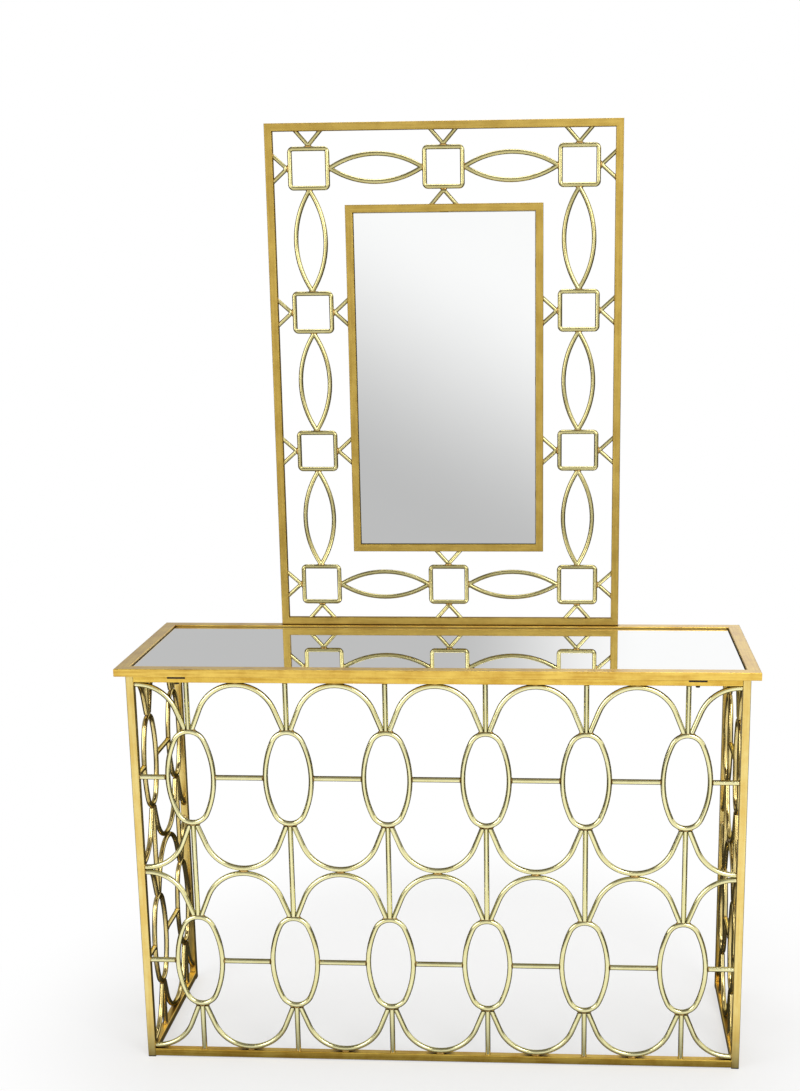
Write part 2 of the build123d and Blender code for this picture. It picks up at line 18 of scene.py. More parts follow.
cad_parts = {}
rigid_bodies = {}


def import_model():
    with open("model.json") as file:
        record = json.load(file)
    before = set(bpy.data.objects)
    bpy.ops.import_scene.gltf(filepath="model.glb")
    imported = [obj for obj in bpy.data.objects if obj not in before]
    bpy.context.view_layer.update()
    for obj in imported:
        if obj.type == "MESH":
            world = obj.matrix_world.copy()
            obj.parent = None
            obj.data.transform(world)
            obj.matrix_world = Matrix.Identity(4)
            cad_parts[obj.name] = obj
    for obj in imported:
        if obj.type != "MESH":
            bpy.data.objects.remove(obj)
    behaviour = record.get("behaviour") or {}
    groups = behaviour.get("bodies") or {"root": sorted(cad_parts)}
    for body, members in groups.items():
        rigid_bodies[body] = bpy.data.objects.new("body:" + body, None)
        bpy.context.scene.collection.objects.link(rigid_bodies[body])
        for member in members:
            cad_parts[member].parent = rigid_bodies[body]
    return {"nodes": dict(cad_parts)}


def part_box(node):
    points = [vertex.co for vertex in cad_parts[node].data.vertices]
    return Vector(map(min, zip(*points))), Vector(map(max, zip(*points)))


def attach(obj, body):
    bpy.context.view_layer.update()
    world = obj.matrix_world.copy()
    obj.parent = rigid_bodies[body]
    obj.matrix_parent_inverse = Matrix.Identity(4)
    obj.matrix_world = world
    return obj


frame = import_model()

LOG = logging.getLogger("vanity_table")
MILLIMETRE = 0.001

# Corners this near to a plane lie on it.
TOUCH = 0.05 * MILLIMETRE
# Keeps a division away from zero.
LEAST_RUN = 1e-9
# Value that a noise node swings about.
NOISE_MEAN = 0.5
WHITE = (1.0, 1.0, 1.0, 1.0)

Colour = tuple[float, float, float]
Span = tuple[float, float]
Key = Union[int, str]


class Axis(Enum):
    """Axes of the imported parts' frame: X to the right, Y to the rear and Z up."""

    X = 0
    Y = 1
    Z = 2

    def way(self) -> Vector:
        """Direction of the axis, of length 1."""
        return Vector([float(index == self.value) for index in range(3)])


class Ray(Enum):
    """Kinds of ray that show the studio as it is seen, by their output of the Light Path node."""

    CAMERA = "Is Camera Ray"
    GLOSSY = "Is Glossy Ray"
    TRANSMISSION = "Is Transmission Ray"


class Signal:
    """An output of a shader tree. Arithmetic on it adds Math nodes."""

    def __init__(self, shader: "Shader", socket: bpy.types.NodeSocket) -> None:
        """Keeps the tree and the socket."""
        self.shader = shader
        self.socket = socket

    def __add__(self, other: "Value") -> "Signal":
        """Sum."""
        return self.shader.math("ADD", self, other)

    __radd__ = __add__

    def __sub__(self, other: "Value") -> "Signal":
        """Difference."""
        return self.shader.math("SUBTRACT", self, other)

    def __rsub__(self, other: "Value") -> "Signal":
        """Difference from a number."""
        return self.shader.math("SUBTRACT", other, self)

    def __mul__(self, other: "Value") -> "Signal":
        """Product."""
        return self.shader.math("MULTIPLY", self, other)

    __rmul__ = __mul__

    def __pow__(self, other: "Value") -> "Signal":
        """Power."""
        return self.shader.math("POWER", self, other)

    def __abs__(self) -> "Signal":
        """Size without its sign."""
        return self.shader.math("ABSOLUTE", self)

    def ramp(self, low: float, high: float, start: float = 0.0, end: float = 1.0) -> "Signal":
        """Smooth step between two values.

        Args:
            low: value of this signal where the step begins.
            high: value of this signal where the step ends.
            start: result at and below low.
            end: result at and above high.

        Returns:
            The stepped signal.
        """
        settings = {"interpolation_type": "SMOOTHSTEP"}
        inputs = {"Value": self, "From Min": low, "From Max": high, "To Min": start, "To Max": end}
        return self.shader.node("ShaderNodeMapRange", settings, inputs)


Value = Union[Signal, float]


class Shader:
    """Adds nodes to the tree of a material or of the world."""

    # A Mix node has sockets of one name for each kind of value, so those for colours are given by place.
    MIX_FACTOR, MIX_FIRST, MIX_SECOND, MIX_RESULT = 0, 6, 7, 2

    def __init__(self, owner: Union[bpy.types.Material, bpy.types.World]) -> None:
        """Empties the owner's tree.

        Args:
            owner: material or world whose nodes are made.
        """
        owner.use_nodes = True
        self.tree = owner.node_tree
        self.tree.nodes.clear()

    def node(self, kind: str, settings: Mapping[str, Any], inputs: Mapping[Key, Any], output: Key = 0) -> Signal:
        """Adds one node.

        Args:
            kind: the node's type.
            settings: properties of the node, which are set first.
            inputs: values or signals for its sockets, by name or place.
            output: socket to give back, which an output node doesn't have.

        Returns:
            The signal of that output.
        """
        made = self.tree.nodes.new(kind)
        for name, value in settings.items():
            setattr(made, name, value)
        for key, value in inputs.items():
            if isinstance(value, Signal):
                self.tree.links.new(value.socket, made.inputs[key])
            else:
                made.inputs[key].default_value = value
        return Signal(self, made.outputs[output] if made.outputs else None)

    def math(self, operation: str, *values: Value) -> Signal:
        """One Math node on numbers or signals."""
        return self.node("ShaderNodeMath", {"operation": operation}, dict(enumerate(values)))

    def mix(self, factor: Value, first: Any, second: Any) -> Signal:
        """Blend of two colours.

        Args:
            factor: share of the second colour.
            first: colour or signal at 0.
            second: colour or signal at 1.

        Returns:
            The blended colour.
        """
        settings = {"data_type": "RGBA", "clamp_factor": True}
        colours = {self.MIX_FIRST: first, self.MIX_SECOND: second}
        inputs = {key: value if isinstance(value, Signal) else (*value, 1.0) for key, value in colours.items()}
        return self.node("ShaderNodeMix", settings, {self.MIX_FACTOR: factor, **inputs}, self.MIX_RESULT)

    def place(self, output: str = "Object") -> Signal:
        """Coordinates of the point on its own piece."""
        return self.node("ShaderNodeTexCoord", {}, {}, output)

    def stretched(self, place: Signal, scale: Sequence[float]) -> Signal:
        """Coordinates with a scale of their own along each axis."""
        return self.node("ShaderNodeMapping", {}, {"Vector": place, "Scale": tuple(scale)})

    def noise(self, place: Signal, scale: float, detail: float = 2.0, roughness: float = 0.5) -> Signal:
        """Cloudy noise from 0 to 1.

        Args:
            place: coordinates.
            scale: blobs per metre, roughly.
            detail: finer layers.
            roughness: weight of the finer layers.

        Returns:
            The noise.
        """
        inputs = {"Vector": place, "Scale": scale, "Detail": detail, "Roughness": roughness}
        return self.node("ShaderNodeTexNoise", {}, inputs)

    def axis(self, vector: Signal, axis: Axis) -> Signal:
        """One component of a vector."""
        return self.node("ShaderNodeSeparateXYZ", {}, {0: vector}, axis.name)

    def ray(self, kind: Ray) -> Signal:
        """One for rays of this kind, or else zero."""
        return self.node("ShaderNodeLightPath", {}, {}, kind.value)

    def shown_rays(self) -> Signal:
        """One for rays from the camera or off shiny and clear surfaces, or else zero."""
        camera, glossy, transmission = (self.ray(kind) for kind in Ray)
        return self.math("MINIMUM", camera + glossy + transmission, 1.0)

    def bump(self, height: Signal, depth: float, strength: float) -> Signal:
        """Surface normal that follows a height.

        Args:
            height: height from 0 to 1.
            depth: height of 1, in metres.
            strength: share of the effect.

        Returns:
            The normal.
        """
        return self.node("ShaderNodeBump", {}, {"Strength": strength, "Distance": depth, "Height": height})

    def surface(self, inputs: Mapping[Key, Any]) -> None:
        """Finishes a material with one Principled shader."""
        shaded = self.node("ShaderNodeBsdfPrincipled", {}, inputs)
        self.node("ShaderNodeOutputMaterial", {}, {"Surface": shaded})


class Grain(Enum):
    """Way that the brushed leaf runs on a bar: the share of the streak scale along X, Y and Z."""

    ALONG_X = (0.04, 1.0, 1.0)
    ALONG_Y = (1.0, 0.04, 1.0)
    ALONG_Z = (1.0, 1.0, 0.04)
    NONE = (0.5, 0.5, 0.5)


def grain_of(node: str) -> Grain:
    """Grain along the longest side of a bar.

    Args:
        node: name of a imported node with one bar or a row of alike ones.

    Returns:
        The grain.
    """
    low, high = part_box(node)
    sides = list(high - low)
    return (Grain.ALONG_X, Grain.ALONG_Y, Grain.ALONG_Z)[sides.index(max(sides))]


@dataclass(frozen=True)
class GoldLeaf:
    """Brushed gold leaf under a thin lacquer. Its spans are where a smooth step begins and ends."""

    name: str
    bright: Colour
    deep: Colour
    # Dark colour of creases: painted shade where parts meet, mixed with real grime.
    grime_and_shade: Colour = (0.055, 0.028, 0.006)
    # Specular tint at grazing angles; dark values paint shade on rod edges and the sides of bars.
    edge: Colour = (1.0, 1.0, 1.0)
    roughness: float = 0.34
    rough_streaks: float = 0.3
    rough_patches: float = 0.12
    rough_creases: float = 0.2
    streaks_per_metre: float = 260.0
    streak_layers: float = 3.0
    streak_share: float = 0.5
    streak_and_patch_share: float = 1.1
    tone_span: Span = (0.3, 0.85)
    patches_per_metre: float = 22.0
    patch_layers: float = 4.0
    patch_breakup: float = 0.6
    flecks_per_metre: float = 900.0
    fleck_share: float = 0.25
    relief: float = 0.10
    relief_depth: float = 0.3 * MILLIMETRE
    crease_rays: int = 6
    crease_reach: float = 0.007
    crease_span: Span = (0.25, 0.68)
    crease_grime_and_shade: float = 0.6
    crease_patch_grime_and_shade: float = 0.5
    lacquer: float = 0.25
    lacquer_roughness: float = 0.18

    def material(self, grain: Grain) -> bpy.types.Material:
        """Material with streaks, soft patches, flecks, and creases darkened by painted shade mixed with grime.

        Args:
            grain: way the streaks run.

        Returns:
            The material, which is made once for each grain.
        """
        name = f"{self.name}_{grain.name.lower()}"
        if name in bpy.data.materials:
            return bpy.data.materials[name]
        made = bpy.data.materials.new(name)
        shader = Shader(made)
        place = shader.place()
        streaks = shader.noise(shader.stretched(place, grain.value), self.streaks_per_metre, self.streak_layers)
        patches = shader.noise(place, self.patches_per_metre, self.patch_layers, self.patch_breakup)
        flecks = shader.noise(place, self.flecks_per_metre)
        tone = streaks * self.streak_share + patches * (self.streak_and_patch_share - self.streak_share)
        tone = tone + (flecks - NOISE_MEAN) * self.fleck_share
        leaf = shader.mix(tone.ramp(*self.tone_span), self.deep, self.bright)
        # Painted shade: ambient occlusion darkens creases, recesses and joints toward the dark crease colour,
        # standing in for shade as well as grime.
        settings, reach = {"samples": self.crease_rays}, {"Distance": self.crease_reach}
        open_share = shader.node("ShaderNodeAmbientOcclusion", settings, reach, "AO")
        crease = (1 - open_share).ramp(*self.crease_span)
        crease = crease * (self.crease_grime_and_shade + patches * self.crease_patch_grime_and_shade)
        rough = self.roughness + (streaks - NOISE_MEAN) * (self.rough_streaks * self.streak_share)
        rough = rough + (patches - NOISE_MEAN) * self.rough_patches + crease * self.rough_creases
        height = streaks * self.streak_share + flecks * (1 - self.streak_share)
        shader.surface({
            "Base Color": shader.mix(crease, leaf, self.grime_and_shade),
            "Metallic": 1.0,
            "Roughness": rough,
            "Specular Tint": (*self.edge, 1.0),
            "Coat Weight": self.lacquer,
            "Coat Roughness": self.lacquer_roughness,
            "Normal": shader.bump(height, self.relief_depth, self.relief),
        })
        return made


@dataclass(frozen=True)
class SilveredGlass:
    """Mirror glass: silvered broad faces, faint smears and green ground edges."""

    name: str
    face: Axis
    face_span: Span = (0.55, 0.95)
    silver: Colour = (0.955, 0.962, 0.96)
    edge: Colour = (0.22, 0.34, 0.29)
    smeared: Colour = (0.80, 0.82, 0.82)
    smears_per_metre: float = 7.0
    smear_layers: float = 5.0
    smear_breakup: float = 0.65
    smear_span: Span = (0.4, 0.75)
    smear_share: float = 0.05
    edge_roughness: float = 0.14
    face_polish: float = 0.125
    haze_span: Span = (0.45, 0.8)
    haze: float = 0.012

    def material(self) -> bpy.types.Material:
        """Material whose broad faces mirror and whose edges are bare glass.

        Returns:
            The material.
        """
        made = bpy.data.materials.new(self.name)
        shader = Shader(made)
        facing = abs(shader.axis(shader.place("Normal"), self.face)).ramp(*self.face_span)
        smears = shader.noise(shader.place(), self.smears_per_metre, self.smear_layers, self.smear_breakup)
        tint = shader.mix(smears.ramp(*self.smear_span) * self.smear_share, self.silver, self.smeared)
        shader.surface({
            "Base Color": shader.mix(facing, self.edge, tint),
            "Metallic": facing,
            "Roughness": self.edge_roughness - facing * self.face_polish + smears.ramp(*self.haze_span) * self.haze,
        })
        return made


@dataclass(frozen=True)
class Hardboard:
    """Pressed dark board with short fibres and soft clouds."""

    name: str = "hardboard"
    dark: Colour = (0.030, 0.019, 0.011)
    pale: Colour = (0.115, 0.072, 0.038)
    fibres_per_metre: float = 420.0
    fibre_stretch: float = 0.15
    fibre_layers: float = 4.0
    fibre_breakup: float = 0.7
    fibre_share: float = 0.8
    clouds_per_metre: float = 9.0
    cloud_layers: float = 4.0
    cloud_share: float = 0.45
    tone_drop: float = 0.25
    tone_span: Span = (0.2, 0.85)
    roughness: float = 0.62
    rough_gaps: float = 0.3
    relief: float = 0.35
    relief_depth: float = 0.3 * MILLIMETRE

    def material(self) -> bpy.types.Material:
        """Material with fibres that run across and upward.

        Returns:
            The material.
        """
        made = bpy.data.materials.new(self.name)
        shader = Shader(made)
        place = shader.place()
        fibres = []
        for scale in ((self.fibre_stretch, 1.0, 1.0), (1.0, 1.0, self.fibre_stretch)):
            run = shader.stretched(place, scale)
            fibres.append(shader.noise(run, self.fibres_per_metre, self.fibre_layers, self.fibre_breakup))
        fibre = shader.math("MAXIMUM", *fibres)
        clouds = shader.noise(place, self.clouds_per_metre, self.cloud_layers)
        tone = (fibre * self.fibre_share + clouds * self.cloud_share - self.tone_drop).ramp(*self.tone_span)
        shader.surface({
            "Base Color": shader.mix(tone, self.dark, self.pale),
            "Roughness": self.roughness + (1 - fibre) * self.rough_gaps,
            "Normal": shader.bump(fibre, self.relief_depth, self.relief),
        })
        return made


@dataclass(frozen=True)
class MouldedPlastic:
    """Black moulded plastic with a fine spark texture."""

    name: str = "glide_plastic"
    black: Colour = (0.012, 0.012, 0.013)
    scuffed: Colour = (0.055, 0.053, 0.050)
    sparks_per_metre: float = 1400.0
    scuffs_per_metre: float = 120.0
    scuff_layers: float = 5.0
    scuff_breakup: float = 0.7
    scuff_span: Span = (0.52, 0.8)
    roughness: float = 0.48
    rough_scuffs: float = 0.25
    relief: float = 0.3
    relief_depth: float = 0.2 * MILLIMETRE

    def material(self) -> bpy.types.Material:
        """Material with scuffs and a grainy skin.

        Returns:
            The material.
        """
        made = bpy.data.materials.new(self.name)
        shader = Shader(made)
        place = shader.place()
        sparks = shader.noise(place, self.sparks_per_metre)
        scuffs = shader.noise(place, self.scuffs_per_metre, self.scuff_layers, self.scuff_breakup)
        scuffs = scuffs.ramp(*self.scuff_span)
        shader.surface({
            "Base Color": shader.mix(scuffs, self.black, self.scuffed),
            "Roughness": self.roughness + scuffs * self.rough_scuffs,
            "Normal": shader.bump(sparks, self.relief_depth, self.relief),
        })
        return made


@dataclass(frozen=True)
class DarkSteel:
    """Oiled steel of the small fixings."""

    name: str = "fixing_steel"
    dark: Colour = (0.018, 0.014, 0.011)
    pale: Colour = (0.105, 0.088, 0.070)
    metal: float = 0.85
    specks_per_metre: float = 300.0
    speck_layers: float = 5.0
    speck_breakup: float = 0.7
    speck_span: Span = (0.35, 0.75)
    roughness: float = 0.38
    rough_specks: float = 0.25
    relief: float = 0.25
    relief_depth: float = 0.15 * MILLIMETRE

    def material(self) -> bpy.types.Material:
        """Material with rolled mottling and dull spots.

        Returns:
            The material.
        """
        made = bpy.data.materials.new(self.name)
        shader = Shader(made)
        mottle = shader.noise(shader.place(), self.specks_per_metre, self.speck_layers, self.speck_breakup)
        shader.surface({
            "Base Color": shader.mix(mottle.ramp(*self.speck_span), self.dark, self.pale),
            "Metallic": self.metal,
            "Roughness": self.roughness + mottle * self.rough_specks,
            "Normal": shader.bump(mottle, self.relief_depth, self.relief),
        })
        return made


TABLE_GOLD = GoldLeaf("table_gold", bright=(0.98, 0.68, 0.125), deep=(0.70, 0.40, 0.045), tone_span=(0.36, 0.70))
# Wider crease step: more painted shade on the rim's inner walls above the pane and on the rear rail's top before the
# mirror.
RIM_GOLD = replace(TABLE_GOLD, name="rim_gold", crease_span=(0.16, 0.42), lacquer=0.7)
# The dark edge tints of these finishes paint shade on the legs' inner faces and the rods' edges.
LEG_GOLD = GoldLeaf("leg_gold", bright=(0.97, 0.78, 0.29), deep=(0.83, 0.58, 0.15), edge=(0.28, 0.22, 0.12),
                    tone_span=(0.36, 0.74))
MIRROR_GOLD = GoldLeaf("mirror_gold", bright=(0.57, 0.40, 0.090), deep=(0.42, 0.275, 0.050), edge=(0.20, 0.16, 0.06),
                       roughness=0.46, tone_span=(0.36, 0.74))
LATTICE_GOLD = GoldLeaf("lattice_gold", bright=(0.95, 0.91, 0.53), deep=(0.85, 0.785, 0.39), edge=(0.30, 0.30, 0.16),
                        roughness=0.20, streak_share=0.12, relief=0.03, crease_reach=0.010, lacquer=0.08)
SIDE_GOLD = replace(LATTICE_GOLD, name="side_gold", bright=(0.97, 0.82, 0.38), deep=(0.87, 0.66, 0.24),
                    edge=(0.34, 0.27, 0.10))
ORNAMENT_GOLD = GoldLeaf("ornament_gold", bright=(0.66, 0.60, 0.29), deep=(0.52, 0.45, 0.18), roughness=0.26,
                         streak_share=0.12, relief=0.05)
WELD_GOLD = GoldLeaf("weld_gold", bright=(0.70, 0.46, 0.15), deep=(0.32, 0.18, 0.045), roughness=0.38,
                     patches_per_metre=190.0)


def dress(nodes: Iterable[str], material: bpy.types.Material) -> None:
    """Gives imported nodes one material.

    Args:
        nodes: names of the nodes.
        material: their finish.
    """
    for node in nodes:
        materials = frame["nodes"][node].data.materials
        materials.clear()
        materials.append(material)
        LOG.info("%s: %s", node, material.name)


def deselect_all() -> None:
    """Leaves no object selected, so that an operator acts on new geometry alone."""
    for piece in bpy.context.scene.objects:
        piece.select_set(False)
    bpy.context.view_layer.objects.active = None


class Weld(Enum):
    """Forms of weld bead."""

    FILLET = "fillet"
    NUGGET = "nugget"


@dataclass(frozen=True)
class WeldPlace:
    """Where one bead sits. Its three ways carry its half sizes, and the way out may lean with the rod."""

    form: Weld
    point: Vector
    along: Vector
    across: Vector
    out: Vector

    def matrix(self, swell: float) -> Matrix:
        """Transform from the bead's own frame to its place.

        Args:
            swell: size factor of this bead.

        Returns:
            The transform.
        """
        ways = Matrix((self.along, self.across, self.out)).transposed().to_4x4()
        return Matrix.Translation(self.point) @ ways @ Matrix.Scale(swell, 4)


@dataclass
class RodEnd:
    """End of one rod on a flat face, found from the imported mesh."""

    edge: list[Vector] = field(default_factory=list)
    run: Vector = field(default_factory=Vector)

    def add(self, edge: Sequence[Vector], inner: Sequence[Vector]) -> None:
        """Takes in one face of the rod's side.

        Args:
            edge: its corners on the flat face.
            inner: its other corners.
        """
        self.edge += edge
        for corner in inner:
            self.run += corner - edge[0]

    def middle(self) -> Vector:
        """Middle of the end."""
        low, high = self._span()
        return (low + high) / 2

    def half_along(self, way: Vector) -> float:
        """Half size of the end along an axis, given as its direction.

        Args:
            way: direction of the axis either way, of length 1.

        Returns:
            The half size.
        """
        low, high = self._span()
        half = (high - low) / 2
        return sum(abs(share) * size for share, size in zip(way, half))

    def _span(self) -> tuple[Vector, Vector]:
        """Box of the end.

        Returns:
            Its lowest and highest corner.
        """
        low = Vector(min(point[k] for point in self.edge) for k in range(3))
        high = Vector(max(point[k] for point in self.edge) for k in range(3))
        return low, high


def rod_ends(node: str, axis: Axis, level: float, reach: float) -> list[RodEnd]:
    """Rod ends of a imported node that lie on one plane.

    Args:
        node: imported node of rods.
        axis: axis across the plane.
        level: place of the plane on that axis.
        reach: distance within which corners belong to one rod.

    Returns:
        The ends.
    """
    mesh = frame["nodes"][node].data
    ends: list[RodEnd] = []
    for face in mesh.polygons:
        corners = [mesh.vertices[index].co for index in face.vertices]
        edge = [corner.copy() for corner in corners if abs(corner[axis.value] - level) < TOUCH]
        inner = [corner.copy() for corner in corners if abs(corner[axis.value] - level) >= TOUCH]
        if not edge or not inner:
            continue
        end = next((known for known in ends if (known.edge[0] - edge[0]).length < reach), None)
        if end is None:
            end = RodEnd()
            ends.append(end)
        end.add(edge, inner)
    return ends


@dataclass
class WeldShop:
    """Models each form of bead once and sets copies at the joints.

    A bead's own sizes are shares of its half sizes. The skirt's waist is where its hollow side turns upward.
    """

    rod_radius: float
    end_reach_radii: float = 4.0
    fillet_height: float = 1.7 * MILLIMETRE
    fillet_sink: float = 0.2
    fillet_flare: float = 1.2
    fillet_waist_height: float = 0.3
    fillet_waist: float = 1.08
    fillet_rim: float = 0.97
    fillet_lump_share: float = 0.5
    nugget_shares: tuple[float, float, float] = (1.9, 0.93, 0.72)
    nugget_rings: int = 6
    nugget_cut: float = -0.7
    sides: int = 12
    lump_depth: float = 0.12
    lump_size: float = 0.6
    swell: float = 0.06
    seed: int = 11
    forms: dict[Weld, bpy.types.Object] = field(default_factory=dict)

    def prepare(self) -> None:
        """Models the forms of bead."""
        self.forms = {Weld.FILLET: self._fillet(), Weld.NUGGET: self._nugget()}

    def _lumps(self, bead: bpy.types.Object, depth: float) -> bpy.types.Object:
        """Makes the bead's skin uneven and smooth to the eye.

        Args:
            bead: mesh to finish.
            depth: height of the lumps.

        Returns:
            The same object.
        """
        clouds = bpy.data.textures.new("weld_lumps", "CLOUDS")
        clouds.noise_scale = self.lump_size
        lumps = bead.modifiers.new("lumps", "DISPLACE")
        lumps.texture = clouds
        lumps.strength = depth
        bpy.ops.object.modifier_apply(modifier=lumps.name)
        bpy.ops.object.shade_smooth()
        return bead

    def _fillet(self) -> bpy.types.Object:
        """Hollow-sided skirt of weld round the end of a rod, its base just under z = 0 and its rim on z = 1.

        Returns:
            The bead.
        """
        deselect_all()
        base = (0.0, 0.0, -self.fillet_sink)
        bpy.ops.mesh.primitive_circle_add(
            vertices=self.sides, radius=self.fillet_flare, fill_type="NGON", location=base)
        bead = bpy.context.object
        bpy.ops.object.transform_apply(location=True)
        bpy.ops.object.mode_set(mode="EDIT")
        bpy.ops.mesh.select_all(action="SELECT")
        steps = (
            (self.fillet_sink, 1.0),
            (self.fillet_waist_height, self.fillet_waist / self.fillet_flare),
            (1.0 - self.fillet_waist_height, self.fillet_rim / self.fillet_waist),
        )
        for rise, taper in steps:
            bpy.ops.mesh.extrude_region_move(TRANSFORM_OT_translate={"value": (0.0, 0.0, rise)})
            bpy.ops.transform.resize(value=(taper, taper, 1.0))
        bpy.ops.mesh.select_all(action="SELECT")
        bpy.ops.mesh.normals_make_consistent(inside=False)
        bpy.ops.object.mode_set(mode="OBJECT")
        return self._lumps(bead, self.lump_depth * self.fillet_lump_share)

    def _nugget(self) -> bpy.types.Object:
        """Flattened blob of weld in the crease where rods run together, of half size 1 each way.

        Returns:
            The bead.
        """
        deselect_all()
        bpy.ops.mesh.primitive_uv_sphere_add(segments=self.sides, ring_count=self.nugget_rings, radius=1.0)
        bead = bpy.context.object
        bpy.ops.object.mode_set(mode="EDIT")
        bpy.ops.mesh.select_all(action="SELECT")
        cut = (0.0, 0.0, self.nugget_cut)
        bpy.ops.mesh.bisect(plane_co=cut, plane_no=(0.0, 0.0, 1.0), use_fill=True, clear_inner=True)
        bpy.ops.object.mode_set(mode="OBJECT")
        return self._lumps(bead, self.lump_depth)

    def nugget(self, point: Vector, out: Vector, along: Vector, scale: float = 1.0) -> WeldPlace:
        """Place of a blob between rods.

        Args:
            point: where the rods meet.
            out: way out of the joint, of length 1.
            along: long way of the blob, of length 1.
            scale: size, 1 for the lattice rod.

        Returns:
            The place.
        """
        long_half, deep_half, high_half = (share * self.rod_radius * scale for share in self.nugget_shares)
        return WeldPlace(Weld.NUGGET, point, along * long_half, out.cross(along) * deep_half, out * high_half)

    def fillets(self, node: str, axis: Axis, level: float, out: Vector, along: Vector) -> list[WeldPlace]:
        """Skirts round the rod ends that lie on one plane.

        Args:
            node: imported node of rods.
            axis: axis across the plane.
            level: place of the plane on that axis.
            out: way from the plane into the rods, of length 1.
            along: way in the plane, of length 1.

        Returns:
            One place for each rod end.
        """
        places = []
        across = out.cross(along)
        for end in rod_ends(node, axis, level, self.end_reach_radii * self.rod_radius):
            lean = end.run * (self.fillet_height / max(end.run.dot(out), LEAST_RUN))
            wide = along * end.half_along(along)
            deep = across * end.half_along(across)
            places.append(WeldPlace(Weld.FILLET, end.middle(), wide, deep, lean))
        return places

    def skirt(self, point: Vector, out: Vector, along: Vector) -> WeldPlace:
        """Skirt round a straight rod that ends on a curved one.

        Args:
            point: middle of the rod's end.
            out: way into the rod, of length 1.
            along: way across it, of length 1.

        Returns:
            The place.
        """
        size = self.rod_radius
        return WeldPlace(Weld.FILLET, point, along * size, out.cross(along) * size, out * self.fillet_height)

    def lay(self, name: str, places: Sequence[WeldPlace], body: str) -> None:
        """Joins a bead for every place into one piece.

        Args:
            name: name of the piece.
            places: where the beads sit.
            body: body that the piece rides on.
        """
        draw = random.Random(self.seed)
        deselect_all()
        copies = []
        for place in places:
            copy = bpy.data.objects.new(name, self.forms[place.form].data.copy())
            bpy.context.scene.collection.objects.link(copy)
            copy.data.transform(place.matrix(1.0 + draw.uniform(-self.swell, self.swell)))
            copy.select_set(True)
            copies.append(copy)
        bpy.context.view_layer.objects.active = copies[0]
        bpy.ops.object.join()
        beads = bpy.context.object
        beads.name = name
        beads.data.materials.clear()
        beads.data.materials.append(WELD_GOLD.material(Grain.NONE))
        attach(beads, body)
        LOG.info("%s: %d beads", name, len(places))

    def put_away(self) -> None:
        """Removes the models that the copies were made from."""
        for form in self.forms.values():
            bpy.data.objects.remove(form)
        self.forms = {}


